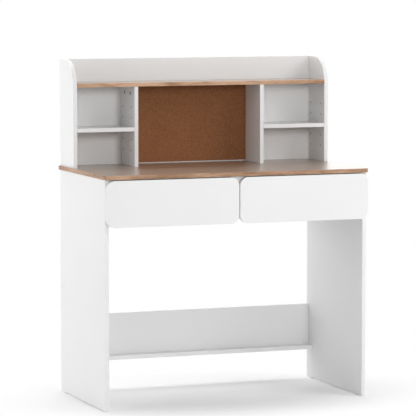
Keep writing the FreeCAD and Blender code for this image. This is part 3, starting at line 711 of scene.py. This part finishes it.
def screw_sizes(corners):
    """The sizes of one CAD screw, and its seat: the middle of its head and the way the head faces."""
    low = Vector(map(min, zip(*corners)))
    high = Vector(map(max, zip(*corners)))
    middle = (low + high) / 2
    axis = max(range(3), key=lambda i: high[i] - low[i])
    length = high[axis] - low[axis]
    aim = Vector((0.0, 0.0, 0.0))
    aim[axis] = 1.0
    rings = []
    for corner in corners:
        rise = (corner - middle).dot(aim)
        rings.append((rise, (corner - middle - aim * rise).length))
    upper = max(radius for rise, radius in rings if rise > length / 2 - TOUCH)
    lower = max(radius for rise, radius in rings if -rise > length / 2 - TOUCH)
    facing = 1.0 if upper > lower else -1.0
    head = max(upper, lower)
    shank = min(upper, lower)
    depths = [(length / 2 - rise * facing, radius) for rise, radius in rings]
    height = min(depth for depth, radius in depths if radius < shank + TOUCH)
    foot = max(radius for depth, radius in depths if abs(depth - height) < TOUCH)
    sizes = tuple(round(size, SIZE_DIGITS) for size in (head, foot, height, shank, length))
    return sizes, (middle + aim * facing * (length / 2), aim * facing)


screw_recipe = cross_head_screw()
for node, body in SCREW_BODIES.items():
    groups = {}
    for corners in loose_solids(node):
        sizes, seat = screw_sizes(corners)
        groups.setdefault(sizes, []).append(seat)
    shape = bmesh.new()
    for (head, foot, height, shank, length), seats in groups.items():
        top = head if foot < head else head * PAN_TOP_SHARE
        batch = make(
            node + "_part", screw_recipe, seats, top=top, foot=foot, height=height, shank=shank,
            length=length, recess=head * RECESS_SHARE, finish=PLATED)
        shape.from_mesh(batch.data)
        bpy.data.objects.remove(batch)
    mesh = bpy.data.meshes.new(node + "_cross")
    shape.to_mesh(mesh)
    shape.free()
    mesh.materials.append(PLATED)
    screws = placed(node + "_cross", mesh)
    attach(screws, body)
    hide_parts(node)


# Floor, light and camera: a white studio floor that keeps the table's shadow, and a long lens at the
# photograph's angle. Two key boxes stand at the front and right and one hangs above and behind, with
# weaker boxes at the sides and behind.
IMAGE_WIDTH = 416
FOCAL_PIXELS = 2657.54
SENSOR = 36.0
CAMERA_AT = (-2.8933, -7.5668, 1.3265)
CAMERA_YAW = math.radians(-20.8136)
CAMERA_PITCH = math.radians(-5.2947)
LENS_REACH = 100.0

FLOOR_REACH = 4.0
FLOOR_FADE = (0.3, 0.8)
FLOOR_STRETCH = (1.0, 1.6, 1.0)
FLOOR_COLOUR = (0.95, 0.95, 0.95, 1.0)
BACKDROP_COLOUR = (1.0, 1.0, 1.0, 1.0)
AMBIENT = 0.27

# Each soft box: its place, the height on the table's middle line that it faces, its size, its watts
SOFT_BOXES = {
    "key_front": ((0.2, -4.4, 1.7), 0.6, (0.9, 0.9), 53.0),
    "key_right": ((2.4, -2.2, 3.0), 0.6, (2.0, 2.0), 45.0),
    "fill_right": ((2.6, -2.6, 1.6), 0.6, (2.0, 2.0), 11.0),
    "fill_left": ((-3.2, -0.4, 1.6), 0.6, (2.0, 2.0), 19.0),
    "fill_left_back": ((-3.0, 1.8, 1.2), 0.5, (2.0, 1.6), 30.0),
    "fill_back": ((0.4, 2.8, 2.6), 0.6, (2.6, 1.8), 10.0),
    "fill_wall": ((0.2, 2.6, 1.0), 0.4, (3.0, 1.6), 12.0),
    "top_back": ((0.0, 1.2, 3.4), 0.6, (2.4, 1.6), 40.0),
}

# The boxes in front of this line aren't mirrored, or they would glare on the desktop from behind
MIRRORED_BEHIND = -2.0


def seen_directly(wire):
    """1 for rays that show the background: straight to the camera, or by reflection or through glass."""
    rays = [wire.node("ShaderNodeLightPath", {}, {}, "Is %s Ray" % kind)
            for kind in ("Camera", "Glossy", "Transmission")]
    return wire.math("MINIMUM", rays[0] + rays[1] + rays[2], 1.0)


def studio_floor():
    """White floor that fades into the white background away from the table."""
    material, shader, place = new_finish(
        "studio_floor", colour=FLOOR_COLOUR, roughness=1.0, specular=0.0)
    oval = place.node("ShaderNodeMapping", {}, {"Vector": place, "Scale": FLOOR_STRETCH})
    away = place.node("ShaderNodeVectorMath", {"operation": "LENGTH"}, {"Vector": oval}, "Value")
    fade = clamped(away, *FLOOR_FADE) * seen_directly(place)
    matt = Wire(place.tree, shader.outputs["BSDF"])
    glow = place.node("ShaderNodeEmission", {}, {})
    blend = place.node("ShaderNodeMixShader", {}, {"Fac": fade, "Shader": matt, "Shader_001": glow})
    place.tree.links.new(blend.socket, place.tree.nodes["Material Output"].inputs["Surface"])
    return material


scene = bpy.context.scene
scene.view_settings.view_transform = "Standard"

lens = bpy.data.cameras.new("camera")
lens.sensor_width = SENSOR
lens.lens = FOCAL_PIXELS / IMAGE_WIDTH * SENSOR
lens.clip_end = LENS_REACH
camera = placed("camera", lens)
camera.location = CAMERA_AT
camera.rotation_euler = (math.pi / 2 + CAMERA_PITCH, 0.0, CAMERA_YAW)
scene.camera = camera

floor_mesh = bpy.data.meshes.new("floor")
floor_corners = [
    (x * FLOOR_REACH, y * FLOOR_REACH, 0.0) for x, y in ((-1, -1), (1, -1), (1, 1), (-1, 1))]
floor_mesh.from_pydata(floor_corners, [], [(0, 1, 2, 3)])
floor_mesh.materials.append(studio_floor())
floor = placed("floor", floor_mesh)

world = bpy.data.worlds.new("studio")
world.use_nodes = True
scene.world = world
backdrop = world.node_tree.nodes["Background"]
backdrop.inputs["Color"].default_value = BACKDROP_COLOUR
shown = seen_directly(Wire(world.node_tree, backdrop.outputs["Background"]))
strength = between(shown, AMBIENT, 1.0)
world.node_tree.links.new(strength.socket, backdrop.inputs["Strength"])

for name, (at, faced_height, (width, height), watts) in SOFT_BOXES.items():
    light = bpy.data.lights.new(name, "AREA")
    light.shape = "RECTANGLE"
    light.size = width
    light.size_y = height
    light.energy = watts
    soft_box = placed(name, light)
    soft_box.location = at
    to_table = Vector((0.0, 0.0, faced_height)) - Vector(at)
    soft_box.rotation_euler = to_table.to_track_quat("-Z", "Y").to_euler()
    soft_box.visible_camera = False
    soft_box.visible_glossy = soft_box.location.y > MIRRORED_BEHIND
